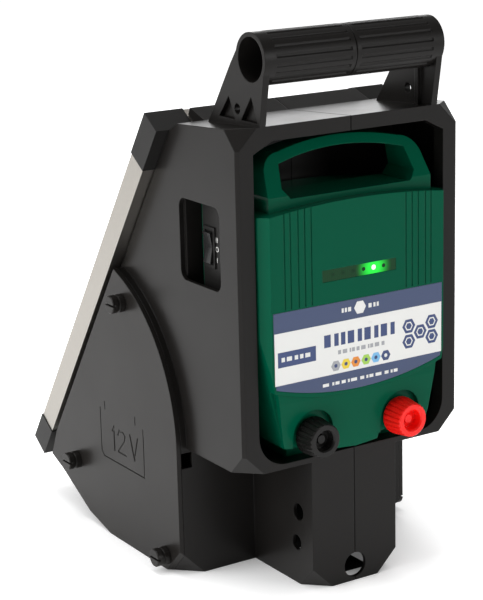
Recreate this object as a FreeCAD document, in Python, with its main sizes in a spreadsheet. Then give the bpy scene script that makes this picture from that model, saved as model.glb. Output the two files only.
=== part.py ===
import FreeCAD, Part

import math
import os

import Sketcher

# Portable solar fence energizer: a two-piece moulded carrier with a carrying handle, a front bay
# that holds a mains-free energiser module, a battery pod behind it and a solar panel across the back.
# Row frame: +X to the right seen from the front, +Y to the back, +Z up. The origin is on the standing
# surface, under the middle of the whole object. Sub-parts are drawn with Y = 0 in the front face of the
# carrier and are then placed by front_y.

DIMENSIONS = [
    ("front_y", -147.95, "Y of the carrier's front face in the row frame"),
    # Carrier shell
    ("wall", 3, "wall of the moulded halves"),
    ("seam", 0.1, "half of the gap between the two moulded halves"),
    ("seam_groove", 0.45, "half width of the V line along the seam"),
    ("frame_half", 95, "half width of the front frame"),
    ("frame_bottom", 100.5, "underside of the front frame"),
    ("frame_top", 348.5, "top of the front face"),
    ("corner_cut", 17, "leg of each truncated corner"),
    ("edge_bevel", 2.2, "bevel along the upright front edges"),
    ("valley_depth", 77.5, "where the sloping top meets the rear hump"),
    ("valley_height", 343, "height of the top there"),
    ("hump_half", 72.5, "half width of the rear hump"),
    ("hump_depth", 97, "back edge of the hump"),
    ("hump_top", 349.5, "height of the hump"),
    ("partition_depth", 76, "front face of the wall between bay and battery pod"),
    # Front opening and side window
    ("opening_half", 81.5, "half width of the front opening"),
    ("opening_bottom", 104.5, "lower edge of the front opening"),
    ("opening_top", 338, "upper edge of the front opening"),
    ("opening_cut_wide", 16, "cut of its upper corners along X"),
    ("opening_cut_tall", 8, "cut of its upper corners along Z"),
    ("opening_round", 23, "radius of its lower corners"),
    ("lip_wall", 2.4, "thickness of the lip behind the opening"),
    ("lip_depth", 11, "how far the lip runs back"),
    ("window_front", 24, "front edge of the switch window"),
    ("window_back", 78.5, "back edge of the switch window"),
    ("window_bottom", 230.7, "lower edge of the switch window"),
    ("window_top", 290.7, "upper edge of the switch window"),
    ("window_round", 7, "corner radius of the switch window"),
    # Post column
    ("column_half", 37.5, "half width of the post column"),
    ("column_depth", 79, "depth of the post column"),
    ("front_hole_radius", 9.5, "hole in the front of the column"),
    ("front_hole_height", 12.4, "its height"),
    ("pin_hole_radius", 6.5, "upper cross hole of the column"),
    ("pin_hole_depth", 18.7, "its distance behind the front face"),
    ("pin_hole_height", 56.7, "its height"),
    ("low_hole_radius", 5.8, "lower cross hole of the column"),
    ("low_hole_depth", 21.2, "its distance behind the front face"),
    ("low_hole_height", 32.2, "its height"),
    # Battery pod
    ("pod_half", 100, "half width of the battery pod"),
    ("pod_front", 79, "front wall of the pod"),
    ("arc_depth", 207, "centre of the pod's round front, distance back"),
    ("arc_height", 100.5, "centre of the pod's round front, height"),
    ("arc_radius", 128, "radius of the pod's round front"),
    ("flat_end", 189, "end of the pod's flat foot"),
    ("toe_depth", 223, "first bend of the pod's tail"),
    ("toe_height", 8.5, "its height"),
    ("heel_depth", 268, "second bend of the pod's tail"),
    ("heel_height", 32, "its height"),
    ("tail_depth", 287, "rearmost corner of the pod"),
    ("tail_height", 39.5, "its height"),
    ("panel_gap", 4.5, "space between pod covers and solar panel"),
    ("rim", 10, "width of the rim that a pod cover lies on"),
    ("cover_thickness", 3.6, "thickness of a pod cover"),
    ("cover_play", 0.25, "play between a pod cover and what it meets"),
    ("sign_depth", 0.5, "depth of the battery sign cut into a pod cover"),
    ("slot_height", 85.5, "lower edge of the cable slot in the pod's front wall"),
    ("slot_tall", 12, "height of the cable slot"),
    ("slot_wide", 9, "width of the cable slot"),
    # Thumbscrews of the pod covers
    ("head_radius", 7, "radius of a thumbscrew head"),
    ("head_length", 11, "length of a thumbscrew head"),
    ("head_groove", 0.7, "depth of the groove round the head"),
    ("head_slot", 1.6, "width of the coin slot"),
    ("shank_radius", 2.5, "radius of the shank"),
    ("shank_length", 16, "length of the shank"),
    ("shank_play", 0.08, "radial play of the shank in its cover and boss"),
    ("boss_radius", 8, "radius of a screw boss"),
    ("boss_depth", 15, "depth of a screw boss"),
    ("tie_radius", 6, "boss that joins the two halves"),
    ("tie_reach", 14, "length of that boss in each half"),
    ("tie_screw", 1.75, "radius of the screw in it"),
    # Carrying handle
    ("grip_half", 75.7, "half length of the handle"),
    ("grip_depth", 9.75, "handle axis behind the front face"),
    ("grip_height", 393.3, "handle axis height"),
    ("grip_radius", 18.5, "outer radius of the grip"),
    ("grip_bore", 15.4, "bore of the grip"),
    ("flute_radius", 1.7, "radius of a grip flute"),
    ("flute_bite", 0.75, "depth of a grip flute"),
    ("flute_start", 4, "half width of the plain band in the middle"),
    ("flute_end", 66, "outer end of the flutes"),
    ("bracket_wall", 5, "thickness of a handle bracket"),
    ("gusset_bite", 3.6, "depth of the triangular recesses"),
    ("bracket_hole", 3.65, "radius of the hole in a handle bracket"),
    # Solar panel
    ("panel_half", 104.5, "half width of the solar panel"),
    ("panel_length", 365.6, "length of the solar panel"),
    ("panel_thick", 18.6, "thickness of its frame"),
    ("panel_tilt", 55.07, "tilt of the panel from level, degrees"),
    ("panel_top_depth", 105.7, "upper back edge of the panel, distance back"),
    ("panel_top_height", 347.3, "upper back edge of the panel, height"),
    ("rail_web", 1.8, "wall of the aluminium rail"),
    ("rail_lip", 7, "lip over the glass"),
    ("rail_foot", 13, "foot of the rail under the panel"),
    ("glass_thick", 3.2, "solar glass"),
    ("laminate_thick", 1.2, "cell laminate"),
    ("cap_proud", 0.7, "how far a corner cap stands out"),
    ("cap_wide", 31, "corner cap along X"),
    ("cap_top_long", 38, "upper corner cap along the slope"),
    ("cap_low_long", 28, "lower corner cap along the slope"),
    # Energiser module
    ("case_half", 80, "half width of the energiser case"),
    ("case_face", -9, "front face of the case"),
    ("case_face_half", 75, "half width of the front face"),
    ("case_joint", 0, "parting plane of the case"),
    ("case_back", 72, "back of the case"),
    ("case_wall", 2.6, "wall of the case"),
    ("case_top_side", 286.5, "top of the front cover at its sides"),
    ("case_top_rise", 5.5, "rise of its arched top"),
    ("case_waist", 200, "height where the sides start to taper"),
    ("case_step", 161, "ends of the step under the label"),
    ("case_step_sag", 12, "sag of the step's arc"),
    ("case_step_half", 73.5, "half width of the case at the step"),
    ("chin_face", -7, "face of the chin under the label"),
    ("chin_back", -2.8, "face of the chin at its lower edge"),
    ("chin_half", 70, "half width of the chin at the step"),
    ("chin_low_half", 64.5, "half width of the chin lower down"),
    ("chin_low", 117, "lower corners of the chin"),
    ("chin_bend", 122, "height where the chin's sides turn in"),
    ("chin_corner", 63, "half width at the chin's lower corners"),
    ("tongue_half", 19, "half width of the tongue under the chin"),
    ("tongue_low", 107, "lower edge of the tongue"),
    ("label_thick", 0.35, "front label"),
    ("label_top", 219.2, "top of the front label"),
    ("light_half", 32, "half width of the light window"),
    ("light_low", 235, "lower edge of the light window"),
    ("light_tall", 8.6, "height of the light window"),
    # Terminals
    ("terminal_half", 38.7, "distance of a terminal from the middle"),
    ("terminal_height", 122.4, "height of the terminals"),
    ("nut_radius", 6.93, "corner radius of a stud's nut"),
    ("nut_relief_low", 116.2, "floor of the relief under a stud's nut"),
    ("pocket_radius", 17, "radius of a terminal pocket"),
    ("pocket_floor", -0.5, "floor of a terminal pocket"),
    ("stud_radius", 4, "M8 terminal stud"),
    ("thread_play", 0.06, "radial play of a knob on its stud"),
    ("washer_radius", 11, "terminal washer"),
    ("washer_thick", 1.6, "its thickness"),
    ("knob_base_radius", 14.2, "knob at its base"),
    ("knob_tip_radius", 12.3, "knob at its tip"),
    ("knob_length", 18, "length of a knob"),
    ("knob_hollow_radius", 7, "hollow in a knob's tip"),
    ("knob_hollow_depth", 8, "its depth"),
    ("flute_count", 22, "flutes round a knob"),
    # Energiser handle
    ("hold_half", 70, "half width of the module's handle"),
    ("hold_side_low", 300, "height where its sides lean in"),
    ("hold_top", 333, "top of the module's handle"),
    ("hold_depth", 34, "depth of the module's handle"),
    ("hold_low", 296, "lower edge of the hand hole"),
    ("hold_inner_half", 54, "half width of the hand hole"),
    ("hold_inner_top", 326, "top of the hand hole"),
    ("hold_lean", 28, "lean of the handle's front, degrees"),
    # Switch
    ("switch_depth", 61, "middle of the switch behind the front face"),
    ("switch_height", 255, "height of the switch"),
    ("switch_long", 30, "bezel along Z"),
    ("switch_wide", 15, "bezel along Y"),
    ("rocker_throw", 12, "throw of the rocker each way, degrees"),
    # Battery
    ("battery_half", 75.5, "half length of the battery block"),
    ("battery_front", 88, "front of the battery block"),
    ("battery_deep", 98, "its depth"),
    ("battery_low", 6, "its underside"),
    ("battery_tall", 88, "height of its case"),
    ("battery_lid", 7, "height of its lid"),
    # Inside the energiser module
    ("board_front", 30, "front of the main board"),
    ("board_thick", 1.6, "its thickness"),
    ("board_half", 66, "its half width"),
    ("board_low", 162, "its lower edge"),
    ("board_high", 270, "its upper edge"),
    ("capacitor_radius", 13, "storage capacitor"),
]

NEAR = 1e-6
ALONG_Y = FreeCAD.Rotation(FreeCAD.Vector(1, 0, 0), -90)
TOWARDS_FRONT = FreeCAD.Rotation(FreeCAD.Vector(1, 0, 0), 90)
ALONG_X = FreeCAD.Rotation(FreeCAD.Vector(0, 1, 0), 90)
ALONG_Z = FreeCAD.Rotation()
PLANE_XZ = FreeCAD.Rotation(FreeCAD.Vector(1, 0, 0), 90)
PLANE_YZ = FreeCAD.Rotation(FreeCAD.Vector(1, 1, 1), 120)
TURNS = {"x": ALONG_X, "y": ALONG_Y, "z": ALONG_Z}
PLANES = {"XY": ALONG_Z, "XZ": PLANE_XZ, "YZ": PLANE_YZ}


class Size:
    """A length together with the formula that ties it to the sheet."""

    def __init__(self, value, formula):
        self.value = value
        self.formula = formula

    def __add__(self, other):
        other = sized(other)
        return Size(self.value + other.value, f"({self.formula} + {other.formula})")

    def __radd__(self, other):
        return sized(other) + self

    def __sub__(self, other):
        other = sized(other)
        return Size(self.value - other.value, f"({self.formula} - {other.formula})")

    def __rsub__(self, other):
        return sized(other) - self

    def __mul__(self, other):
        other = sized(other)
        return Size(self.value * other.value, f"({self.formula} * {other.formula})")

    def __rmul__(self, other):
        return sized(other) * self

    def __truediv__(self, other):
        other = sized(other)
        return Size(self.value / other.value, f"({self.formula} / {other.formula})")

    def __neg__(self):
        return Size(-self.value, f"(0 - {self.formula})")


def sized(value):
    return value if isinstance(value, Size) else Size(float(value), f"({float(value):.6f})")


def sine(angle):
    return Size(math.sin(math.radians(angle.value)), f"sin({angle.formula})")


def cosine(angle):
    return Size(math.cos(math.radians(angle.value)), f"cos({angle.formula})")


def bind(feature, path, size):
    """Tie one property of a feature to the sheet."""
    feature.setExpression(path, sized(size).formula)


class Dimensions:
    """The spreadsheet of driving dimensions, read as attributes."""

    def __init__(self, document):
        sheet = document.addObject("Spreadsheet::Sheet", "Dimensions")
        for row, (alias, value, meaning) in enumerate(DIMENSIONS, start=1):
            sheet.set(f"A{row}", alias)
            sheet.set(f"B{row}", str(value))
            sheet.set(f"C{row}", meaning)
            sheet.setAlias(f"B{row}", alias)
            setattr(self, alias, Size(float(value), f"Dimensions.{alias}"))


doc = FreeCAD.newDocument("fence_energizer")
d = Dimensions(doc)
doc.recompute()
nodes = []


# ---------------------------------------------------------------- building blocks

def place(feature, x, y, z):
    bind(feature, "Placement.Base.x", x)
    bind(feature, "Placement.Base.y", y)
    bind(feature, "Placement.Base.z", z)


def box(name, x, y, z):
    """A box between two limits on each axis."""
    block = doc.addObject("Part::Box", name)
    bind(block, "Length", x[1] - x[0])
    bind(block, "Width", y[1] - y[0])
    bind(block, "Height", z[1] - z[0])
    place(block, x[0], y[0], z[0])
    return block


def cylinder(name, axis, centre, radius, start, length):
    """A cylinder along an axis; centre is its point where it starts on the other two axes."""
    rod = doc.addObject("Part::Cylinder", name)
    rod.Placement = FreeCAD.Placement(FreeCAD.Vector(), TURNS[axis])
    bind(rod, "Radius", radius)
    bind(rod, "Height", length)
    if axis == "x":
        place(rod, start, centre[0], centre[1])
    elif axis == "y":
        place(rod, centre[0], start, centre[1])
    else:
        place(rod, centre[0], centre[1], start)
    return rod


def arc_between(start, end, bulge):
    """An arc from start to end whose middle stands out by bulge to the left of the way along."""
    along = end - start
    left = FreeCAD.Vector(-along.y, along.x, 0).normalize()
    middle = (start + end) * 0.5 + left * bulge
    return Part.Arc(start, middle, end)


def which_end(sketch, side, point):
    """1 if the side's own start lies at the point, 2 if its end does."""
    return 1 if sketch.getPoint(side, 1).distanceToPoint(point) < 1e-4 else 2


def draw(sketch, outline, arcs):
    """A closed outline, each corner held from the origin. arcs gives the radius of the sides that
    are round, with the bulge that tells which of the arcs through the two corners is meant."""
    corners = [FreeCAD.Vector(sized(u).value, sized(v).value, 0) for u, v in outline]
    count = len(corners)
    for side in range(count):
        start = corners[side]
        end = corners[(side + 1) % count]
        if side in arcs:
            sketch.addGeometry(arc_between(start, end, arcs[side][1]), False)
        else:
            sketch.addGeometry(Part.LineSegment(start, end), False)
    for side in range(count):
        start = which_end(sketch, side, corners[side])
        before = (side - 1) % count
        finish = which_end(sketch, before, corners[side])
        sketch.addConstraint(Sketcher.Constraint("Coincident", before, finish, side, start))
        for kind, size in zip(("DistanceX", "DistanceY"), outline[side]):
            size = sized(size)
            held = Sketcher.Constraint(kind, -1, 1, side, start, size.value)
            number = sketch.addConstraint(held)
            bind(sketch, f"Constraints[{number}]", size)
    for side, (radius, bulge) in arcs.items():
        held = Sketcher.Constraint("Radius", side, sized(radius).value)
        number = sketch.addConstraint(held)
        bind(sketch, f"Constraints[{number}]", radius)


def prism(name, plane, outline, start, length, arcs=None):
    """An outline in a principal plane, drawn out along the plane's third axis."""
    sketch = doc.addObject("Sketcher::SketchObject", name + "_outline")
    sketch.Placement = FreeCAD.Placement(FreeCAD.Vector(), PLANES[plane])
    draw(sketch, outline, arcs or {})
    bind(sketch, {"XY": "Placement.Base.z", "XZ": "Placement.Base.y", "YZ": "Placement.Base.x"}[plane], start)
    solid = doc.addObject("Part::Extrusion", name)
    solid.Base = sketch
    solid.DirMode = "Normal"
    solid.Reversed = plane == "XZ"
    solid.Solid = True
    bind(solid, "LengthFwd", length)
    return solid


def plane_of(body, role):
    for feature in body.Origin.OriginFeatures:
        if feature.Role == role:
            return feature
    raise RuntimeError(f"{body.Name} has no {role}")


def body_sketch(body, role, name, outline, arcs=None, offset=0):
    sketch = body.newObject("Sketcher::SketchObject", name)
    sketch.AttachmentSupport = [(plane_of(body, role), "")]
    sketch.MapMode = "FlatFace"
    bind(sketch, "AttachmentOffset.Base.z", offset)
    draw(sketch, outline, arcs or {})
    return sketch


def turned(name, outline, arcs=None):
    """A body of revolution about its own Z axis; the outline is in radius and height."""
    body = doc.addObject("PartDesign::Body", name)
    sketch = body_sketch(body, "XZ_Plane", name + "_section", outline, arcs)
    turn = body.newObject("PartDesign::Revolution", name + "_turn")
    turn.Profile = sketch
    turn.ReferenceAxis = (sketch, ["V_Axis"])
    turn.Angle = 360
    sketch.Visibility = False
    return body


def stand(feature, x, y, z, rotation):
    """Place a body that is drawn about its own Z axis."""
    feature.Placement = FreeCAD.Placement(FreeCAD.Vector(), rotation)
    place(feature, x, y, z)
    return feature


def fuse(name, *pieces):
    """Join pieces one after the other."""
    joined = pieces[0]
    for number, piece in enumerate(pieces[1:], start=2):
        step = doc.addObject("Part::Fuse", name if number == len(pieces) else f"{name}_{number}")
        step.Base = joined
        step.Tool = piece
        step.Refine = number == len(pieces)
        joined = step
    return joined


def group(name, *pieces):
    """Pieces that stay apart, held together as one shape."""
    held = doc.addObject("Part::Compound", name)
    held.Links = list(pieces)
    return held


def cut(name, base, *tools):
    """Take tools away one after the other."""
    left = base
    for number, tool in enumerate(tools, start=1):
        step = doc.addObject("Part::Cut", name if number == len(tools) else f"{name}_{number}")
        step.Base = left
        step.Tool = tool
        step.Refine = number == len(tools)
        left = step
    return left


def common(name, first, second):
    shared = doc.addObject("Part::Common", name)
    shared.Base = first
    shared.Tool = second
    shared.Refine = True
    return shared


def mirrored(name, source):
    """The other-hand copy of a feature, across X = 0."""
    copy = doc.addObject("Part::Mirroring", name)
    copy.Source = source
    copy.Normal = FreeCAD.Vector(1, 0, 0)
    return copy


def rounded(name, source, radius, wanted):
    """Round the edges of a finished shape that the test function wants."""
    doc.recompute()
    body = doc.addObject("PartDesign::Body", name)
    body.BaseFeature = source
    doc.recompute()
    base = body.Group[0]
    names = [f"Edge{number}" for number, edge in enumerate(base.Shape.Edges, start=1) if wanted(edge)]
    if not names:
        raise RuntimeError(f"{name} has no edge to round")
    fillet = body.newObject("PartDesign::Fillet", name + "_rounds")
    fillet.Base = (base, names)
    bind(fillet, "Radius", radius)
    doc.recompute()
    return body


def node(name, feature, placed=False):
    """Name a finished sub-part. One that is drawn from the carrier's front face is moved by front_y."""
    feature.Label = name
    if not placed:
        bind(feature, "Placement.Base.y", d.front_y)
    nodes.append((name, feature))
    return feature


# ---------------------------------------------------------------- the slope of the solar panel

under_depth = d.panel_top_depth - d.panel_thick * sine(d.panel_tilt)
under_height = d.panel_top_height - d.panel_thick * cosine(d.panel_tilt)


def slope(along, below):
    """A point (depth, height) below the panel's underside, measured down the slope from its top."""
    depth = under_depth + along * cosine(d.panel_tilt) - below * sine(d.panel_tilt)
    height = under_height - along * sine(d.panel_tilt) - below * cosine(d.panel_tilt)
    return depth, height


# ---------------------------------------------------------------- carrier: two moulded halves

def corner_tool(name, x, y, z, leg, turn):
    """A block whose lower face, turned to the corner's diagonal, takes the corner off."""
    reach = math.sqrt(3)
    tool = doc.addObject("Part::Box", name)
    size = leg * 3
    bind(tool, "Length", size)
    bind(tool, "Width", size)
    bind(tool, "Height", size)
    normal = FreeCAD.Vector(*turn).normalize()
    spin = FreeCAD.Rotation(FreeCAD.Vector(0, 0, 1), normal)
    middle = spin.multVec(FreeCAD.Vector(size.value / 2, size.value / 2, 0))
    tool.Placement = FreeCAD.Placement(FreeCAD.Vector(), spin)
    inset = leg / reach
    place(
        tool,
        sized(x) - inset * normal.x - middle.x,
        sized(y) - inset * normal.y - middle.y,
        sized(z) - inset * normal.z - middle.z,
    )
    return tool


def pod_outline(inset, back):
    """Side outline of the battery pod: flat foot, rising tail and a round front."""
    top = slope(back[0], back[1])
    low = slope(back[2], back[1])
    front = d.pod_front + inset
    return [
        (front, inset),
        (d.flat_end, inset),
        (d.toe_depth - inset * 0.2, d.toe_height + inset),
        (d.heel_depth - inset * 0.5, d.heel_height + inset),
        (d.tail_depth - inset, d.tail_height + inset * 0.8),
        low,
        top,
        (front, d.arc_height),
    ]


def pod_prism(name, inset, back, start, length):
    outline = pod_outline(inset, back)
    round_side = {6: (d.arc_radius - inset, -arc_bulge(outline[6], outline[7], d.arc_radius - inset))}
    return prism(name, "YZ", outline, start, length, round_side)


def arc_bulge(start, end, radius):
    """How far the middle of an arc stands from its chord."""
    run = sized(end[0]).value - sized(start[0]).value
    rise = sized(end[1]).value - sized(start[1]).value
    half = math.hypot(run, rise) / 2
    return radius.value - math.sqrt(radius.value**2 - half**2)


def arc_meets_slope(inset, below):
    """How far down the slope a line below the panel meets the pod's round front."""
    radius = d.arc_radius.value - inset
    depth, height = slope(sized(0), sized(below))
    tilt = math.radians(d.panel_tilt.value)
    away = (depth.value - d.arc_depth.value, height.value - d.arc_height.value)
    heading = (math.cos(tilt), -math.sin(tilt))
    middle = -(away[0] * heading[0] + away[1] * heading[1])
    offset = math.hypot(away[0] + middle * heading[0], away[1] + middle * heading[1])
    return middle - math.sqrt(radius**2 - offset**2)


def pod_back(inset, below, low):
    return (arc_meets_slope(inset, below), below, low)


COVER_LINE = pod_back(0, 4.5, 331.5)

seat_gap = d.cap_proud + 0.3
upper_shell = prism(
    "upper_shell", "YZ",
    [
        (0, d.frame_bottom),
        (0, d.frame_top),
        (d.valley_depth, d.valley_height),
        slope(0, seat_gap),
        slope(255, seat_gap),
        (d.pod_front, d.frame_bottom),
    ],
    -d.frame_half, d.frame_half - d.seam,
)
hump = prism(
    "hump", "YZ",
    [
        (d.valley_depth - 4, d.valley_height - 6),
        (d.valley_depth, d.valley_height),
        (d.hump_depth, d.hump_top),
        (d.hump_depth + 2.8, d.hump_top - 5.2),
        slope(-0.5, 0.4),
    ],
    -d.hump_half, d.hump_half - d.seam,
)
pod_shell = pod_prism("pod_shell", 0, COVER_LINE, -d.pod_half, d.pod_half - d.seam)
column_shell = box("column_shell", (-d.column_half, -d.seam), (0, d.column_depth), (0, d.frame_bottom + 1))
outer = fuse("outer", upper_shell, hump, pod_shell, column_shell)

bay_hollow = prism(
    "bay_hollow", "YZ",
    [
        (d.wall, d.frame_bottom + d.wall),
        (d.wall, d.frame_top - d.wall),
        (d.partition_depth, d.valley_height - d.wall),
        (d.partition_depth, d.frame_bottom + d.wall),
    ],
    -d.frame_half + d.wall, d.frame_half,
)
rear_hollow = prism(
    "rear_hollow", "YZ",
    [
        (d.partition_depth + d.wall, d.frame_bottom),
        (d.partition_depth + d.wall, d.valley_height - d.wall - 1),
        (d.partition_depth + 8, d.valley_height - 9),
        slope(2, -6),
        slope(300, -6),
    ],
    -d.frame_half + d.wall, d.frame_half,
)
arc_block = cylinder("arc_block", "x", (d.arc_depth, d.arc_height), d.arc_radius, -120, 140)
low_block = box("low_block", (-120, 20), (d.pod_front - 1, 400), (0, d.arc_height + d.wall))
rear_space = cut("rear_space", rear_hollow, arc_block, low_block)
pod_space = pod_prism(
    "pod_space", d.wall.value, pod_back(d.wall.value, -6, 322), -d.pod_half + d.wall, d.pod_half
)
pod_mouth = pod_prism(
    "pod_mouth", d.rim.value, pod_back(d.rim.value, 12, 318), -d.pod_half - 1, d.pod_half / 2,
)
column_space = box(
    "column_space",
    (-d.column_half + d.wall, 1),
    (d.wall, d.partition_depth),
    (-1, d.frame_bottom - d.wall),
)


def truncation(name, half, depth, height, up, backing):
    """The block outside a truncated corner, or the one outside the wall behind it."""
    leg = d.corner_cut + d.wall * math.sqrt(3) if backing else d.corner_cut
    return corner_tool(name, -half, depth, height, leg, (-1, -1, up))


CORNERS = [
    ("upper", d.frame_half, sized(0), d.frame_top, 1),
    ("lower", d.frame_half, sized(0), d.frame_bottom, -1),
    ("foot", d.column_half, sized(0), sized(0), -1),
    ("pod", d.pod_half, d.pod_front, sized(0), -1),
]
corner_blocks = [truncation(f"corner_{where}", *at, False) for where, *at in CORNERS]
backing = {where: truncation(f"backing_{where}", *at, True) for where, *at in CORNERS}
front_bevel = prism(
    "front_bevel", "XY",
    [
        (-d.frame_half - 1, -1),
        (-d.frame_half + d.edge_bevel, -1),
        (-d.frame_half + d.edge_bevel, 0),
        (-d.frame_half, d.edge_bevel),
        (-d.frame_half - 1, d.edge_bevel),
    ],
    d.frame_bottom, d.frame_top - d.frame_bottom,
)
carved = cut(
    "carved", outer,
    cut("bay_space", bay_hollow, backing["upper"], backing["lower"]),
    rear_space,
    cut("pod_room", pod_space, backing["pod"]),
    pod_mouth,
    cut("column_room", column_space, backing["foot"]),
    *corner_blocks,
    front_bevel,
)


def opening_prism(name, grow, start, length):
    """The front opening: upper corners cut, lower corners round."""
    half = d.opening_half + grow
    low = d.opening_bottom - grow
    top = d.opening_top + grow
    bend = d.opening_round + grow
    outline = [
        (half, top - d.opening_cut_tall),
        (half - d.opening_cut_wide, top),
        (-half + d.opening_cut_wide, top),
        (-half, top - d.opening_cut_tall),
        (-half, low + bend),
        (-half + bend, low),
        (half - bend, low),
        (half, low + bend),
    ]
    sag = bend.value * (1 - math.sqrt(0.5))
    return prism(name, "XZ", outline, start, length, {4: (bend, -sag), 6: (bend, -sag)})


opening = opening_prism("opening", 0 * d.wall, -5, d.lip_depth + 10)
left_side = box("left_side", (-150, -d.seam), (-50, 400), (-10, 450))
lip_ring = cut("lip_ring", opening_prism("lip_block", d.lip_wall, 1, d.lip_depth - 1), opening)
lip = common("lip", lip_ring, left_side)

seat_side = prism(
    "seat_side", "YZ", [slope(2, seat_gap), slope(252, seat_gap), slope(252, 4.2), slope(2, 4.2)],
    -d.frame_half + 0.5, 12,
)
seat_top = prism(
    "seat_top", "YZ", [slope(0.5, 1.2), slope(12, 1.2), slope(12, 4.4), slope(0.5, 4.4)],
    -d.frame_half + 1, d.frame_half - 1 - d.seam,
)

# Screw bosses of the pod cover
SCREW_SITES = [
    ("top", sized(154), sized(197.7)),
    ("rear", sized(239.7), sized(48.1)),
    ("front", sized(99.7), sized(11.8)),
]
bosses = []
for site, depth, height in SCREW_SITES:
    bosses.append(cylinder(f"boss_{site}", "x", (depth, height), d.boss_radius, -d.pod_half, d.boss_depth))
web_of_boss = box("web_of_boss", (-d.pod_half, -d.pod_half + d.boss_depth), (238.2, 241.2), (14, 48))
boss_set = common("boss_set", fuse("boss_blocks", *bosses, web_of_boss), pod_shell)
shank_holes = []
for site, depth, height in SCREW_SITES:
    shank_holes.append(
        cylinder(
            f"shank_hole_{site}", "x", (depth, height), d.shank_radius + d.shank_play,
            -d.pod_half - 1, d.boss_depth + 3,
        )
    )

# Carrying handle
bracket_plate = prism(
    "bracket_plate", "YZ",
    [
        (0.5, d.frame_top - 2.5),
        (0, d.frame_top),
        (d.grip_depth - 17, d.grip_height - 3),
        (d.grip_depth, d.grip_height + 8),
        (d.grip_depth + 17, d.grip_height + 6),
        (35.3, 388.4),
        (66.8, 343.6),
        (66.5, 341),
    ],
    -d.grip_half, d.bracket_wall,
)
bracket_rib = box(
    "bracket_rib",
    (-d.grip_half + d.bracket_wall - 1, -d.grip_half + d.bracket_wall + 3),
    (12, 16),
    (d.frame_top - 3, d.grip_height - 10),
)
gusset_front = prism(
    "gusset_front", "YZ", [(2.5, 350.5), (9.9, 368), (23, 350.5)], -d.grip_half - 1, d.gusset_bite + 1
)
gusset_rear = prism(
    "gusset_rear", "YZ", [(31, 350), (38.5, 365.5), (51.5, 350)], -d.grip_half - 1, d.gusset_bite + 1
)
bracket_bore = cylinder("bracket_bore", "x", (27.7, 357.7), d.bracket_hole, -d.grip_half - 1, 12)
bracket = cut(
    "bracket", fuse("bracket_solid", bracket_plate, bracket_rib), gusset_front, gusset_rear, bracket_bore
)
grip = cylinder("grip", "x", (d.grip_depth, d.grip_height), d.grip_radius, -d.grip_half, d.grip_half - d.seam)
grip_hollow = cylinder("grip_hollow", "x", (d.grip_depth, d.grip_height), d.grip_bore, -90, 100)
FLUTES = 18
flutes = []
for number in range(FLUTES):
    angle = 2 * math.pi * (number + 0.5) / FLUTES
    reach = d.grip_radius + d.flute_radius - d.flute_bite
    flutes.append(
        cylinder(
            f"flute_{number + 1}", "x",
            (d.grip_depth + reach * math.cos(angle), d.grip_height + reach * math.sin(angle)),
            d.flute_radius, -d.flute_end, d.flute_end - d.flute_start,
        )
    )
seam_ring = cut(
    "seam_ring",
    cylinder("seam_band", "x", (d.grip_depth, d.grip_height), d.grip_radius + 2, -d.seam_groove, 1),
    cylinder("seam_core", "x", (d.grip_depth, d.grip_height), d.grip_radius - 0.5, -2, 4),
)
handle = cut(
    "handle", fuse("handle_solid", cut("fluted_grip", grip, group("flutes", *flutes), seam_ring), bracket),
    grip_hollow,
)

# Joined, then pierced
seam_front = box("seam_front", (-d.seam_groove, 1), (-2, 0.5), (-2, d.frame_top + 2))
seam_top = prism(
    "seam_top", "YZ",
    [
        (-2, d.frame_top - 0.4), (d.valley_depth, d.valley_height - 0.6), (d.hump_depth, d.hump_top - 0.6),
        (d.hump_depth, d.hump_top + 3), (-2, d.frame_top + 3),
    ],
    -d.seam_groove, 1,
)
TIE_SITES = [(84.5, 150), (84.5, 230), (84.5, 310), (225, 17.5), (8.5, 88)]
ties = [
    cylinder(f"tie_{number}", "x", site, d.tie_radius, -d.tie_reach, d.tie_reach - d.seam)
    for number, site in enumerate(TIE_SITES, start=1)
]
tie_bores = [
    cylinder(f"tie_bore_{number}", "x", site, d.tie_screw + 0.05, -d.tie_reach - 1, d.tie_reach + 2)
    for number, site in enumerate(TIE_SITES, start=1)
]
half_solid = fuse("half_solid", carved, lip, seat_side, seat_top, boss_set, group("ties", *ties))
half_solid.Refine = False
half_shell = cut(
    "half_shell", half_solid,
    group(
        "round_holes", *tie_bores,
        cylinder("pin_hole", "x", (d.pin_hole_depth, d.pin_hole_height), d.pin_hole_radius, -60, 120),
        cylinder("low_hole", "x", (d.low_hole_depth, d.low_hole_height), d.low_hole_radius, -60, 120),
        cylinder("front_hole", "y", (0, d.front_hole_height), d.front_hole_radius, -5, 10),
        *shank_holes,
    ),
    opening, seam_front, seam_top,
)
half = fuse("half", half_shell, handle)


def round_box(name, y, z, radius, start, length):
    """A block along X with rounded corners."""
    outline = [
        (y[0] + radius, z[0]),
        (y[1] - radius, z[0]),
        (y[1], z[0] + radius),
        (y[1], z[1] - radius),
        (y[1] - radius, z[1]),
        (y[0] + radius, z[1]),
        (y[0], z[1] - radius),
        (y[0], z[0] + radius),
    ]
    sag = -radius.value * (1 - math.sqrt(0.5))
    arcs = {side: (radius, sag) for side in (1, 3, 5, 7)}
    return prism(name, "YZ", outline, start, length, arcs)


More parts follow.
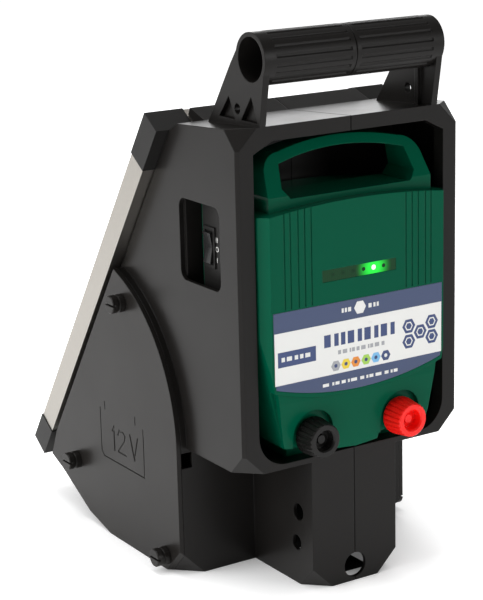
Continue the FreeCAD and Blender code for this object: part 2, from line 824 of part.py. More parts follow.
window = round_box(
    "window", (d.window_front, d.window_back), (d.window_bottom, d.window_top), d.window_round,
    -d.frame_half - 1, d.wall + 2,
)
slot = box(
    "cable_slot", (-d.pod_half - 1, -d.pod_half + d.slot_wide), (d.pod_front - 1, d.pod_front + d.rim + 1),
    (d.slot_height, d.slot_height + d.slot_tall),
)
node("housing_left", cut("housing_left", half, window, slot))
node("housing_right", mirrored("housing_right", half))
tie_screws = []
for number, site in enumerate(TIE_SITES, start=1):
    shaft = cylinder(f"tie_shaft_{number}", "x", site, d.tie_screw, -d.tie_reach + 2, d.tie_reach * 2 - 2)
    head = cylinder(f"tie_head_{number}", "x", site, d.tie_screw * 1.9, d.tie_reach, 2.4)
    tie_screws.append(fuse(f"tie_screw_{number}", shaft, head))
node("housing_screws", group("housing_screws", *tie_screws))


# ---------------------------------------------------------------- pod covers and their thumbscrews

def stroke(name, start, end, wide):
    """A straight cut along the face of a pod cover, from one point (depth, height) to another."""
    run = math.hypot(end[0] - start[0], end[1] - start[1])
    angle = math.degrees(math.atan2(end[1] - start[1], end[0] - start[0]))
    line = doc.addObject("Part::Box", name)
    line.Length = 2
    line.Width = run + wide
    line.Height = wide
    spin = FreeCAD.Rotation(FreeCAD.Vector(1, 0, 0), angle)
    inset = spin.multVec(FreeCAD.Vector(0, wide / 2, wide / 2))
    line.Placement = FreeCAD.Placement(FreeCAD.Vector(0, start[0] - inset.y, start[1] - inset.z), spin)
    bind(line, "Placement.Base.x", -d.pod_half - d.cover_play - d.cover_thickness - 2 + d.sign_depth)
    return line


SIGN_OUTLINE = [
    ((197, 103.5), (197, 68.5)), ((197, 68.5), (193.5, 64.7)), ((193.5, 64.7), (129, 64.7)),
    ((129, 64.7), (129, 103)), ((189.2, 104.3), (189.2, 110)), ((141, 104.3), (141, 110)),
]
SIGN_CHARACTERS = [
    ((175.5, 92), (178, 89.5)), ((175.5, 93), (175.5, 74.5)),
    ((169, 88.5), (167, 92)), ((167, 92), (162, 93)), ((162, 93), (158.2, 90)), ((158.2, 90), (158.6, 85.5)),
    ((158.6, 85.5), (169, 74.8)), ((169, 74.8), (157.6, 74.8)),
    ((150, 93), (144, 75)), ((144, 75), (138, 93)),
]
SIGN_STROKES = [(line, 1.1) for line in SIGN_OUTLINE] + [(line, 1.9) for line in SIGN_CHARACTERS]
sign = fuse("sign", *[
    stroke(f"sign_{number}", line[0], line[1], wide)
    for number, (line, wide) in enumerate(SIGN_STROKES, start=1)
])
cover_plate = pod_prism(
    "cover_plate", 0, COVER_LINE, -d.pod_half - d.cover_play - d.cover_thickness, d.cover_thickness
)
cover_corner = corner_tool(
    "cover_corner", -d.pod_half - d.cover_play - d.cover_thickness, d.pod_front, 0,
    d.corner_cut + d.cover_thickness, (-1, -1, -1),
)
cover_holes = group("cover_holes", *[
    cylinder(f"cover_hole_{site}", "x", (depth, height), d.shank_radius + d.shank_play, -120, 30)
    for site, depth, height in SCREW_SITES
])
blank_cover = cut("blank_cover", cover_plate, cover_corner, cover_holes)
node("battery_cover_left", cut("battery_cover_left", blank_cover, sign))
node("battery_cover_right", mirrored("battery_cover_right", cut("signed_cover", blank_cover, sign)))

for hand, side in (("left", -1), ("right", 1)):
    for site, depth, height in SCREW_SITES:
        name = f"thumbscrew_{hand}_{site}"
        groove = d.head_radius - d.head_groove
        blank = turned(
            name + "_blank",
            [
                (0, -d.shank_length),
                (d.shank_radius, -d.shank_length),
                (d.shank_radius, 0),
                (d.head_radius, 0),
                (d.head_radius, d.head_length * 0.42),
                (groove, d.head_length * 0.45),
                (groove, d.head_length * 0.55),
                (d.head_radius, d.head_length * 0.58),
                (d.head_radius, d.head_length - 0.6),
                (d.head_radius - 0.6, d.head_length),
                (0, d.head_length),
            ],
        )
        coin_slot = doc.addObject("Part::Box", name + "_slot")
        bind(coin_slot, "Length", d.head_slot)
        bind(coin_slot, "Width", d.head_radius * 2 + 2)
        bind(coin_slot, "Height", 3)
        place(coin_slot, -d.head_slot / 2, -d.head_radius - 1, d.head_length - 2.2)
        screw = cut(name, blank, coin_slot)
        face = d.pod_half + d.cover_play + d.cover_thickness + 0.05
        outward = FreeCAD.Rotation(FreeCAD.Vector(0, 1, 0), 90 * side)
        stand(screw, side * face, d.front_y + depth, height, outward)
        node(name, screw, placed=True)


# ---------------------------------------------------------------- solar panel, drawn in its own plane

def on_slope(name, feature):
    """Place a piece drawn with X across, Y down the slope and Z out of the panel's upper face."""
    feature.Placement = FreeCAD.Placement(
        FreeCAD.Vector(), FreeCAD.Rotation(FreeCAD.Vector(1, 0, 0), -d.panel_tilt.value)
    )
    bind(feature, "Placement.Rotation.Angle", -d.panel_tilt)
    place(feature, 0, d.front_y + d.panel_top_depth, d.panel_top_height)
    node(name, feature, placed=True)


rail_skin = sized(1.6)
rail_span = (d.cap_top_long, d.panel_length - d.cap_low_long)
side_rail = cut(
    "side_rail",
    box("side_rail_block", (-d.panel_half, -d.panel_half + d.rail_foot), rail_span, (-d.panel_thick, 0)),
    box(
        "side_rail_room", (-d.panel_half + d.rail_web, -80), (0, 400),
        (-d.panel_thick + rail_skin, -rail_skin),
    ),
    box("side_rail_open", (-d.panel_half + d.rail_lip, -80), (0, 400), (-rail_skin - 1, 1)),
)
on_slope("panel_rail_left", group("panel_rail_left", side_rail))
on_slope("panel_rail_right", mirrored("panel_rail_right", side_rail))
end_span = (-d.panel_half + d.cap_wide, d.panel_half - d.cap_wide)
top_rail = cut(
    "top_rail",
    box("top_rail_block", end_span, (0, d.rail_foot), (-d.panel_thick, 0)),
    box("top_rail_room", (-90, 90), (d.rail_web, 20), (-d.panel_thick + rail_skin, -rail_skin)),
    box("top_rail_open", (-90, 90), (d.rail_lip, 20), (-rail_skin - 1, 1)),
)
on_slope("panel_rail_top", group("panel_rail_top", top_rail))
low_rail = cut(
    "low_rail",
    box("low_rail_block", end_span, (d.panel_length - d.rail_foot, d.panel_length), (-d.panel_thick, 0)),
    box(
        "low_rail_room", (-90, 90), (340, d.panel_length - d.rail_web),
        (-d.panel_thick + rail_skin, -rail_skin),
    ),
    box("low_rail_open", (-90, 90), (340, d.panel_length - d.rail_lip), (-rail_skin - 1, 1)),
)
on_slope("panel_rail_bottom", group("panel_rail_bottom", low_rail))


def corner_cap(name, low, high, inner, mouth):
    """A left-hand corner cap between two limits down the slope; inner clears the glass."""
    proud = d.cap_proud
    block = box(
        name + "_block",
        (-d.panel_half - proud, -d.panel_half + d.cap_wide), (low, high), (-d.panel_thick - proud, proud),
    )
    window_cut = box(name + "_window", (-d.panel_half + d.rail_foot + 1, 0), mouth, (-40, 10))
    room = box(name + "_room", (-d.panel_half + 1.9, 0), inner, (-d.panel_thick + rail_skin, -rail_skin))
    return cut(name, block, window_cut, room)


cap_top = corner_cap(
    "cap_top", -d.cap_proud, d.cap_top_long, (sized(1.9), d.cap_top_long + 1),
    (d.rail_foot + 1, d.cap_top_long + 1),
)
cap_low = corner_cap(
    "cap_low", d.panel_length - d.cap_low_long, d.panel_length + d.cap_proud,
    (d.panel_length - d.cap_low_long - 1, d.panel_length - 1.9),
    (d.panel_length - d.cap_low_long - 1, d.panel_length - d.rail_foot - 1),
)
on_slope("panel_cap_top_left", group("panel_cap_top_left", cap_top))
on_slope("panel_cap_top_right", mirrored("panel_cap_top_right", cap_top))
on_slope("panel_cap_bottom_left", group("panel_cap_bottom_left", cap_low))
on_slope("panel_cap_bottom_right", mirrored("panel_cap_bottom_right", cap_low))
glass_span = (sized(2.2), d.panel_length - 2.2)
glass_wide = (-d.panel_half + 2.2, d.panel_half - 2.2)
glass_low = -rail_skin - d.glass_thick
junction_top = glass_low - d.laminate_thick
on_slope("solar_glass", group("solar_glass", box("glass", glass_wide, glass_span, (glass_low, -rail_skin))))
on_slope(
    "cell_laminate",
    group("cell_laminate", box(
        "laminate", glass_wide, glass_span, (glass_low - d.laminate_thick, glass_low),
    )),
)
on_slope(
    "junction_box",
    cut(
        "junction_box",
        box("junction_block", (-28, 28), (50, 95), (junction_top - 10, junction_top)),
        box("junction_room", (-26, 26), (52, 93), (junction_top - 8, junction_top - 1.5)),
    ),
)


# ---------------------------------------------------------------- battery in the pod

battery_back = d.battery_front + d.battery_deep
battery_lid_low = d.battery_low + d.battery_tall
battery_wall = sized(2.5)
battery_x = (-d.battery_half, d.battery_half)
battery_y = (d.battery_front, battery_back)
node("battery_case", cut(
    "battery_case",
    box("battery_block", battery_x, battery_y, (d.battery_low, battery_lid_low)),
    box(
        "battery_room", (-d.battery_half + battery_wall, d.battery_half - battery_wall),
        (d.battery_front + battery_wall, battery_back - battery_wall),
        (d.battery_low + battery_wall, battery_lid_low + 1),
    ),
))
POLES = [("positive", 60), ("negative", -60)]
pole_feet = [
    box(f"pole_recess_{name}", (at - 8, at + 8), (d.battery_front + 8, d.battery_front + 22),
        (battery_lid_low + 3, battery_lid_low + d.battery_lid + 1))
    for name, at in POLES
]
node("battery_lid", cut(
    "battery_lid", box("lid_block", battery_x, battery_y, (battery_lid_low, battery_lid_low + d.battery_lid)),
    group("pole_recesses", *pole_feet),
))
for name, at in POLES:
    foot = box(
        f"pole_foot_{name}", (at - 4, at + 4), (d.battery_front + 11, d.battery_front + 19),
        (battery_lid_low + 3, battery_lid_low + 4),
    )
    tab = box(
        f"pole_tab_{name}", (at - 3.2, at + 3.2), (d.battery_front + 14.6, d.battery_front + 15.4),
        (battery_lid_low + 3, battery_lid_low + 12),
    )
    node(f"battery_terminal_{name}", fuse(f"battery_terminal_{name}", foot, tab))
node("battery_pad", group(
    "battery_pad", box("pad_block", battery_x, battery_y, (d.wall, d.battery_low)),
))


# ---------------------------------------------------------------- energiser module: case

def symmetric(right_side):
    """Close an outline given by its right-hand corners from top to bottom, counter-clockwise."""
    left_side = [(-sized(x), z) for x, z in right_side]
    return right_side[::-1] + left_side


def arch_radius(half, rise):
    return (sized(half) * half + sized(rise) * rise) / (rise * 2)


def case_prism(name, inset, start, length):
    """The outline of the case: arched top, upright sides, then tapering to the chin."""
    right = [
        (d.case_half - inset, d.case_top_side - inset),
        (d.case_half - inset, d.case_waist),
        (d.case_step_half - inset, d.case_step),
        (d.chin_low_half - inset, d.chin_bend),
        (d.chin_corner - inset, d.chin_low + inset),
        (d.tongue_half + 1, d.chin_low - 4 + inset),
    ]
    top = 5
    arch = (arch_radius(d.case_half - inset, d.case_top_rise), -d.case_top_rise.value)
    return prism(name, "XZ", symmetric(right), start, length, {top: arch})


step_sag = d.case_step_sag
face_right = [
    (d.case_half, d.case_top_side),
    (d.case_half, d.case_waist),
    (d.case_step_half, d.case_step),
]
face_block = prism(
    "face_block", "XZ", symmetric(face_right), d.case_face, d.case_joint - d.case_face,
    {
        2: (arch_radius(d.case_half, d.case_top_rise), -d.case_top_rise.value),
        5: (arch_radius(d.case_step_half, step_sag), -step_sag.value),
    },
)
chin_right = [
    (d.chin_half + 2, d.case_step + 8),
    (d.chin_half, d.case_step),
    (d.chin_low_half, d.chin_bend),
    (d.chin_corner, d.chin_low),
    (52, d.chin_low - 1.5),
    (d.tongue_half + 1, d.chin_low - 4.7),
    (d.tongue_half, d.tongue_low + 1.2),
]
chin_outline = symmetric(chin_right)
chin_outline.insert(0, (0, d.tongue_low - 0.5))
chin_block = prism(
    "chin_block", "XZ", chin_outline[1:] + chin_outline[:1], d.chin_face, d.case_joint - d.chin_face,
)
skirt = case_prism("skirt", 0, d.case_joint - 2, 2)
pocket_backs = []
pockets = []
stud_bores = []
for hand, side in (("left", -1), ("right", 1)):
    middle = side * d.terminal_half
    reach = d.pocket_radius + 2
    pocket_backs.append(box(
        f"pocket_back_{hand}", (middle - reach, middle + reach), (d.pocket_floor, d.case_joint + 2.4),
        (d.chin_low + 3, d.terminal_height + 22),
    ))
    pockets.append(cylinder(
        f"pocket_{hand}", "y", (middle, d.terminal_height + 2.6), d.pocket_radius, -20, 20 + d.pocket_floor,
    ))
    pockets.append(box(
        f"pocket_foot_{hand}", (middle - d.pocket_radius, middle + d.pocket_radius), (-20, d.pocket_floor),
        (100, d.terminal_height + 2.6),
    ))
    stud_bores.append(cylinder(
        f"stud_bore_{hand}", "y", (middle, d.terminal_height), d.stud_radius + 0.05, -5, 12,
    ))
side_slope = prism(
    "side_slope", "XY",
    [
        (-d.case_half - 10, -12),
        (-d.case_face_half + 5 / 3, -12),
        (-d.case_half, 0),
        (-d.case_half - 10, 0),
    ],
    d.case_step - 20, 160,
)
chin_slope = prism(
    "chin_slope", "YZ",
    [(-20, 151), (d.chin_face, 151), (d.chin_back + 0.3, 105), (-20, 105)],
    -90, 180,
)
face_room = cut(
    "face_room",
    case_prism(
        "face_room_block", d.case_wall + 3.2, d.case_face + d.case_wall, d.case_joint - d.case_face,
    ),
    box("face_room_floor", (-100, 100), (-20, 20), (100, d.case_step + 10)),
    group("face_bosses", *[
        cylinder(f"face_boss_{number}", "y", (x, 277), 5, -20, 40) for number, x in enumerate((-71, 71))
    ]),
    group("lamp_posts", *[
        cylinder(f"lamp_post_{number}", "y", (x, 248.7), 1.4, -20, 16.6)
        for number, x in enumerate((-27.5, 27.5))
    ]),
)
light_slot = box(
    "light_slot", (-d.light_half, d.light_half), (d.case_face - 1, d.case_face + 5),
    (d.light_low, d.light_low + d.light_tall),
)
RIB_PLACES = (41, 46.5, 52, 58.5, 63.5)
ribs = group("ribs", *[
    box(f"rib_{number}", (x - 0.5, x + 0.5), (d.case_face - 1, d.case_face + 0.6), (d.label_top + 1.2, 300))
    for number, x in enumerate([-place_x for place_x in RIB_PLACES] + list(RIB_PLACES))
])


def label_prism(name, inset, start, length):
    """The field of the front label; its lower edge follows the step under it."""
    right = [
        (d.case_face_half - 1.2 - inset, d.label_top - inset),
        (d.case_face_half - 1.2 - inset, d.case_waist),
        (d.case_face_half - 2.6 - inset, d.case_step + 2.4 + inset),
    ]
    half_low = right[2][0]
    return prism(
        name, "XZ", symmetric(right), start, length,
        {5: (arch_radius(half_low, step_sag - 1.2), -(step_sag.value - 1.2))},
    )


SCREW_PLACES = [(-71, 277), (71, 277), (-64, 152), (64, 152)]
front_screw_bores = group("front_screw_bores", *[
    cylinder(f"front_screw_bore_{number}", "y", site, 1.5, -5, 10) for number, site in enumerate(SCREW_PLACES)
])
node("energiser_front", cut(
    "energiser_front", fuse("face_solid", face_block, chin_block, skirt, *pocket_backs),
    side_slope, mirrored("side_slope_right", side_slope), chin_slope, face_room,
    group("pockets", fuse("pocket_left_open", *pockets[:2]), fuse("pocket_right_open", *pockets[2:])),
    group("stud_bores", *stud_bores), light_slot, ribs, front_screw_bores,
    label_prism("label_recess", 0, d.case_face - 1, d.label_thick + 1),
))
node("front_label", group("front_label", label_prism("label_sheet", 0.15, d.case_face, d.label_thick)))
node("light_window", fuse(
    "light_window",
    box("light_strip", (-d.light_half + 0.1, d.light_half - 0.1), (d.case_face + 0.2, d.case_face + 3.4),
        (d.light_low + 0.1, d.light_low + d.light_tall - 0.1)),
    box("light_flange", (-d.light_half - 3, d.light_half + 3),
        (d.case_face + d.case_wall, d.case_face + 3.4), (d.light_low - 3, d.light_low + d.light_tall + 3)),
))

# Back of the case with its handle
hold_right = [
    (52, 326.8),
    (d.hold_half - 2.1, 312),
    (d.hold_half, d.hold_side_low - 1),
    (d.hold_half, d.case_top_side - 2),
]
hold_block = prism(
    "hold_block", "XZ", symmetric(hold_right), d.case_joint, d.hold_depth,
    {2: (16, -4.25), 3: (arch_radius(52, d.hold_top - 326.8), -6.2), 4: (16, -4.25)},
)
hole_right = [
    (d.hold_inner_half, 319),
    (d.hold_inner_half + 3, 303),
    (d.hold_inner_half - 2.4, d.hold_low),
]
hold_hole = prism(
    "hold_hole", "XZ", symmetric(hole_right), d.case_joint - 1, d.hold_depth + 2,
    {2: (arch_radius(d.hold_inner_half, d.hold_inner_top - 319), -7)},
)
hold_slope = prism(
    "hold_slope", "YZ",
    [(-5, 298), (0, 298), (42 * sine(d.hold_lean) / cosine(d.hold_lean), 340), (-5, 340)],
    -90, 180,
)
back_room = cut(
    "back_room",
    case_prism(
        "back_room_block", d.case_wall, d.case_joint - 1, d.case_back - d.case_joint - d.case_wall + 1,
    ),
    group("case_pillars", *[
        cylinder(f"case_pillar_{number}", "y", site, 5, -5, 90) for number, site in enumerate(SCREW_PLACES)
    ]),
    group("board_pillars", *[
        cylinder(f"board_pillar_{number}", "y", site, 4, d.board_front + d.board_thick, 60)
        for number, site in enumerate([(-58, 170), (58, 170), (-58, 262), (58, 262)])
    ]),
)
feet = [
    box(f"foot_{number}", (x - 10, x + 10), (14, 66), (d.frame_bottom + d.wall, d.chin_low + 3))
    for number, x in enumerate((-40, 40))
]
pads = [
    box(f"pad_{number}", (x - 10, x + 10), (d.case_back - 1, d.partition_depth), (z, z + 20))
    for number, (x, z) in enumerate([(-50, 135), (50, 135), (-50, 255), (50, 255)])
]
switch_cutout = box(
    "switch_cutout", (-d.case_half - 1, -d.case_half + 6),
    (d.switch_depth - d.switch_wide / 2 + 1, d.switch_depth + d.switch_wide / 2 - 1),
    (d.switch_height - d.switch_long / 2 + 1, d.switch_height + d.switch_long / 2 - 1),
)
screw_tunnels = group("screw_tunnels", *[
    cylinder(f"screw_tunnel_{number}", "y", site, 1.6, -5, 90) for number, site in enumerate(SCREW_PLACES)
])
head_tunnels = group("head_tunnels", *[
    cylinder(f"head_tunnel_{number}", "y", site, 3.2, 60, 30) for number, site in enumerate(SCREW_PLACES)
])
nut_reliefs = group("nut_reliefs", *[
    box(f"nut_relief_{number}", (x - 5, x + 5), (d.case_joint - 1, 9.6), (d.nut_relief_low, 121))
    for number, x in enumerate((-d.terminal_half, d.terminal_half))
])
gasket_ring = cut(
    "gasket_ring",
    case_prism("gasket_outer", 0.8, d.case_joint, 1.2),
    case_prism("gasket_inner", 1.9, d.case_joint - 1, 4),
)
case_block = case_prism("case_block", 0, d.case_joint, d.case_back - d.case_joint)
node("energiser_back", cut(
    "energiser_back", fuse("back_solid", case_block, cut("hold", hold_block, hold_slope), *feet, *pads),
    hold_hole, back_room, switch_cutout, screw_tunnels, head_tunnels, gasket_ring, nut_reliefs,
))
node("case_gasket", cut(
    "case_gasket", case_prism("seal_outer", 0.8, d.case_joint, 1.2),
    case_prism("seal_inner", 1.9, d.case_joint - 1, 4),
))
case_screws = []
for number, site in enumerate(SCREW_PLACES):
    shaft = cylinder(f"case_screw_shaft_{number}", "y", site, 1.45, -4.5, 65)
    head = cylinder(f"case_screw_head_{number}", "y", site, 2.9, 60, 2.4)
    case_screws.append(fuse(f"case_screw_{number}", shaft, head))
node("case_screws", group("case_screws", *case_screws))


# ---------------------------------------------------------------- energiser module: inside

lamp_board_y = d.case_face + 5.6
node("led_board", group(
    "led_board", box("led_board_plate", (-30, 30), (lamp_board_y, lamp_board_y + 1.6), (231, 250.5)),
))
LAMP_PLACES = (-22.9, -14.1, -5.3, 3.5, 12.3, 21.1)
node("led_lamps", group("led_lamps", *[
    cylinder(f"lamp_{number}", "y", (x, 239.6), 1.5, lamp_board_y - 2, 2)
    for number, x in enumerate(LAMP_PLACES)
]))
node("main_board", cut(
    "main_board",
    box("main_board_plate", (-d.board_half, d.board_half), (d.board_front, d.board_front + d.board_thick),
        (d.board_low, d.board_high)),
    group("main_board_holes", *[
        cylinder(f"main_board_hole_{number}", "y", site, 1.6, 20, 20)
        for number, site in enumerate([(-58, 170), (58, 170), (-58, 262), (58, 262)])
    ]),
))
node("storage_capacitor", group("storage_capacitor", cylinder(
    "capacitor_can", "x", (d.board_front - d.capacitor_radius, 252), d.capacitor_radius, -48, 54,
)))
core_windows = group(
    "core_windows",
    box("core_window_0", (20, 28), (0, 40), (188, 222)),
    box("core_window_1", (44, 52), (0, 40), (188, 222)),
)
node("transformer_core", cut(
    "transformer_core", box("core_block", (12, 60), (10, 26), (180, 230)), core_windows,
))
node("transformer_coil", cut(
    "transformer_coil", box("coil_block", (20.2, 51.8), (5, d.board_front), (188.2, 221.8)),
    box("coil_limb", (27.9, 44.1), (9.9, 26.1), (180, 230)),
))

# Switch on the left side of the case
pivot_x = -d.case_half + 3
switch_y = (d.switch_depth - d.switch_wide / 2, d.switch_depth + d.switch_wide / 2)
switch_z = (d.switch_height - d.switch_long / 2, d.switch_height + d.switch_long / 2)
bezel = box("bezel", (-d.case_half - 1.5, -d.case_half), switch_y, switch_z)
switch_core = box(
    "switch_core", (-d.case_half - 1, -d.case_half + 15), (switch_y[0] + 1.2, switch_y[1] - 1.2),
    (switch_z[0] + 1.2, switch_z[1] - 1.2),
)
rocker_gap = box(
    "rocker_gap", (-d.case_half - 3, -d.case_half + 11), (d.switch_depth - 5, d.switch_depth + 5),
    (d.switch_height - 12.4, d.switch_height + 12.4),
)
pivot_bore = cylinder(
    "pivot_bore", "y", (pivot_x, d.switch_height), 1.26, d.switch_depth - 6.6, 13.2,
)
node("switch_body", cut("switch_body", fuse("switch_solid", bezel, switch_core), rocker_gap, pivot_bore))
rocker_face = -d.case_half - 4
rocker_shape = prism(
    "rocker_shape", "XZ",
    [
        (rocker_face, d.switch_height - 11.2),
        (-d.case_half, d.switch_height - 11.2),
        (-d.case_half + 6, d.switch_height - 5),
        (-d.case_half + 6, d.switch_height + 5),
        (-d.case_half, d.switch_height + 11.2),
        (rocker_face, d.switch_height + 11.2),
        (rocker_face + 2, d.switch_height),
    ],
    d.switch_depth - 4.8, 9.6,
)
pivot_pin = cylinder("pivot_pin", "y", (pivot_x, d.switch_height), 1.2, d.switch_depth - 6.2, 12.4)
node("switch_rocker", fuse("switch_rocker", rocker_shape, pivot_pin))


# ---------------------------------------------------------------- terminals

KNOB_TAPER = math.atan2(d.knob_base_radius.value - d.knob_tip_radius.value, d.knob_length.value)
for owner, side in (("earth", -1), ("fence", 1)):
    middle = side * d.terminal_half
    stud_start = sized(-11)
    node(f"{owner}_stud", group(f"{owner}_stud", cylinder(
        f"{owner}_rod", "y", (middle, d.terminal_height), d.stud_radius, stud_start, 22,
    )))
    corners = []
    for number in range(6):
        turn = math.radians(60 * number)
        corners.append((
            middle + d.nut_radius * math.cos(turn), d.terminal_height + d.nut_radius * math.sin(turn),
        ))
    nut_block = prism(f"{owner}_nut_block", "XZ", corners, d.case_joint + 2.4, 6.5)
    nut_bore = cylinder(f"{owner}_nut_bore", "y", (middle, d.terminal_height), d.stud_radius + 0.05, 0, 12)
    node(f"{owner}_nut", cut(f"{owner}_nut", nut_block, nut_bore))
    bore = d.stud_radius + d.thread_play
    washer = turned(f"{owner}_washer_body", [
        (bore, 0),
        (d.washer_radius, 0),
        (d.washer_radius, d.washer_thick),
        (bore, d.washer_thick),
    ])
    stand(washer, middle, d.front_y + d.pocket_floor, d.terminal_height, TOWARDS_FRONT)
    node(f"{owner}_washer", washer, placed=True)
    blind = d.knob_length - d.knob_hollow_depth - 0.7
    knob = turned(f"{owner}_knob_body", [
        (bore, 0),
        (d.knob_base_radius - 0.6, 0),
        (d.knob_base_radius, 0.8),
        (d.knob_base_radius, 3),
        (d.knob_tip_radius + 0.2, d.knob_length - 0.8),
        (d.knob_tip_radius - 0.6, d.knob_length),
        (d.knob_hollow_radius + 1.4, d.knob_length),
        (d.knob_hollow_radius + 0.4, d.knob_length - 1.2),
        (d.knob_hollow_radius, d.knob_length - d.knob_hollow_depth),
        (3.6, d.knob_length - d.knob_hollow_depth),
        (3.2, d.knob_length - d.knob_hollow_depth + 2.6),
        (0, d.knob_length - d.knob_hollow_depth + 2.6),
        (0, blind),
        (bore, blind),
    ])
    grooves = []
    for number in range(int(d.flute_count.value)):
        turn = 2 * math.pi * number / d.flute_count.value
        groove = doc.addObject("Part::Cylinder", f"{owner}_groove_{number}")
        bind(groove, "Radius", 1.1)
        bind(groove, "Height", d.knob_length + 3)
        tilt = -math.sin(KNOB_TAPER)
        lean = FreeCAD.Vector(tilt * math.cos(turn), tilt * math.sin(turn), 1)
        groove.Placement = FreeCAD.Placement(
            FreeCAD.Vector(), FreeCAD.Rotation(FreeCAD.Vector(0, 0, 1), lean)
        )
        reach = d.knob_base_radius + 0.75
        place(groove, reach * math.cos(turn), reach * math.sin(turn), -1)
        grooves.append(groove)
    grip_knob = cut(f"{owner}_knob", knob, group(f"{owner}_grooves", *grooves))
    stand(
        grip_knob, middle, d.front_y + d.pocket_floor - d.washer_thick, d.terminal_height, TOWARDS_FRONT
    )
    node(f"{owner}_knob", grip_knob, placed=True)


# ---------------------------------------------------------------- checks and files

def check_and_write():
    doc.recompute()
    for feature in doc.Objects:
        for state in feature.State:
            if "Invalid" in state or "Error" in state:
                raise RuntimeError(f"{feature.Name} is {feature.State}")
    for name, feature in nodes:
        if feature.Shape.isNull() or not feature.Shape.isValid() or not feature.Shape.Solids:
            raise RuntimeError(f"{name} has no valid solid")
    os.makedirs("parts", exist_ok=True)
    for name, feature in nodes:
        feature.Shape.exportStep(f"parts/{name}.step")
        box_of = feature.Shape.BoundBox
        print(
            f"{name}: {len(feature.Shape.Solids)} solid, {feature.Shape.Volume / 1000:.1f} cm3,"
            f" X {box_of.XMin:.1f} {box_of.XMax:.1f} Y {box_of.YMin:.1f} {box_of.YMax:.1f}"
            f" Z {box_of.ZMin:.1f} {box_of.ZMax:.1f}"
        )


check_and_write()
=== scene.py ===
import math

import bpy
from mathutils import Matrix, Vector


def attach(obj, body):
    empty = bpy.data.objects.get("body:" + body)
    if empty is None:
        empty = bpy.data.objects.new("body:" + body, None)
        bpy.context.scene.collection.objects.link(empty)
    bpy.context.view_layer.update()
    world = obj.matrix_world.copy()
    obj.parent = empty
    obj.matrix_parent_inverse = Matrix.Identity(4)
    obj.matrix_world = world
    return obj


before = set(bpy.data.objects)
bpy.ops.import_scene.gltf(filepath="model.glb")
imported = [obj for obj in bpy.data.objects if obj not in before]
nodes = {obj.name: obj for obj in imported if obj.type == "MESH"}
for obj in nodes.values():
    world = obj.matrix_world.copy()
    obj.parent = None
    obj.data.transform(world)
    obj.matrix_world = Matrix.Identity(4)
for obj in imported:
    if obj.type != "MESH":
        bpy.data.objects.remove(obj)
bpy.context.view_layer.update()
FRONT_Y = -0.14795


def row(x, depth, height):
    """Millimetres across, behind the carrier's front face and above the base, as a point in the row frame."""
    return Vector((x / 1000, depth / 1000 + FRONT_Y, height / 1000))


# ---------------------------------------------------------------- materials

class Paint:
    """A small node tree: base colour, roughness and a bump, each fed by procedural textures."""

    def __init__(self, name, colour, roughness, metallic=0.0, coat=0.0, specular=0.5):
        self.material = bpy.data.materials.new(name)
        self.material.use_nodes = True
        self.tree = self.material.node_tree
        self.shader = self.tree.nodes["Principled BSDF"]
        self.shader.inputs["Metallic"].default_value = metallic
        self.shader.inputs["Coat Weight"].default_value = coat
        self.shader.inputs["Specular IOR Level"].default_value = specular
        self.colour = self.value(colour)
        self.rough = roughness
        self.shader.inputs["Roughness"].default_value = roughness
        self.height = None
        self.coordinates = self.tree.nodes.new("ShaderNodeTexCoord").outputs["Object"]

    def node(self, kind, **inputs):
        made = self.tree.nodes.new(kind)
        for key, given in inputs.items():
            self.feed(made.inputs[key.replace("_", " ")], given)
        return made

    def feed(self, socket, given):
        if isinstance(given, bpy.types.NodeSocket):
            self.tree.links.new(given, socket)
        else:
            socket.default_value = given

    def value(self, colour):
        made = self.tree.nodes.new("ShaderNodeRGB")
        made.outputs[0].default_value = (*colour, 1)
        return made.outputs[0]

    def stretched(self, scale):
        mapping = self.node("ShaderNodeMapping", Vector=self.coordinates)
        mapping.inputs["Scale"].default_value = scale
        return mapping.outputs[0]

    def noise(self, scale, detail=4.0, stretch=(1, 1, 1)):
        made = self.node("ShaderNodeTexNoise", Vector=self.stretched(stretch), Scale=scale, Detail=detail)
        return made.outputs["Fac"]

    def ramp(self, factor, low, high):
        made = self.node("ShaderNodeMapRange", Value=factor)
        made.inputs["To Min"].default_value = low
        made.inputs["To Max"].default_value = high
        return made.outputs[0]

    def mottle(self, factor, strength):
        """Darker and lighter patches of the same colour."""
        made = self.node(
            "ShaderNodeHueSaturation", Color=self.colour, Value=self.ramp(factor, 1 - strength, 1 + strength),
        )
        self.colour = made.outputs[0]
        return self

    def worn(self, factor, strength):
        """Roughness that varies with a texture."""
        self.feed(
            self.shader.inputs["Roughness"],
            self.ramp(factor, max(0.02, self.rough - strength), self.rough + strength),
        )
        return self

    def bump(self, factor, distance, strength=1.0):
        made = self.node("ShaderNodeBump", Height=factor, Distance=distance, Strength=strength)
        if self.height is not None:
            self.feed(made.inputs["Normal"], self.height)
        self.height = made.outputs[0]
        return self

    def rounded(self, radius):
        """Soft edges, as a mould leaves them."""
        self.height = self.node("ShaderNodeBevel", Radius=radius).outputs[0]
        return self

    def done(self):
        self.feed(self.shader.inputs["Base Color"], self.colour)
        if self.height is not None:
            self.feed(self.shader.inputs["Normal"], self.height)
        return self.material


def moulded(
    name, colour, roughness, grain=1500, depth=0.00005, mottling=0.07, coat=0.0, specular=0.5, edge=0.0006,
):
    """Moulded plastic: fine texture, faint flow marks and handling dust."""
    paint = Paint(name, colour, roughness, coat=coat, specular=specular)
    paint.rounded(edge)
    paint.mottle(paint.noise(9, 5), mottling)
    paint.worn(paint.noise(22, 6), 0.07)
    paint.bump(paint.noise(grain, 2), depth, 0.5)
    paint.bump(paint.noise(35, 2), 0.00025, 0.25)
    return paint.done()


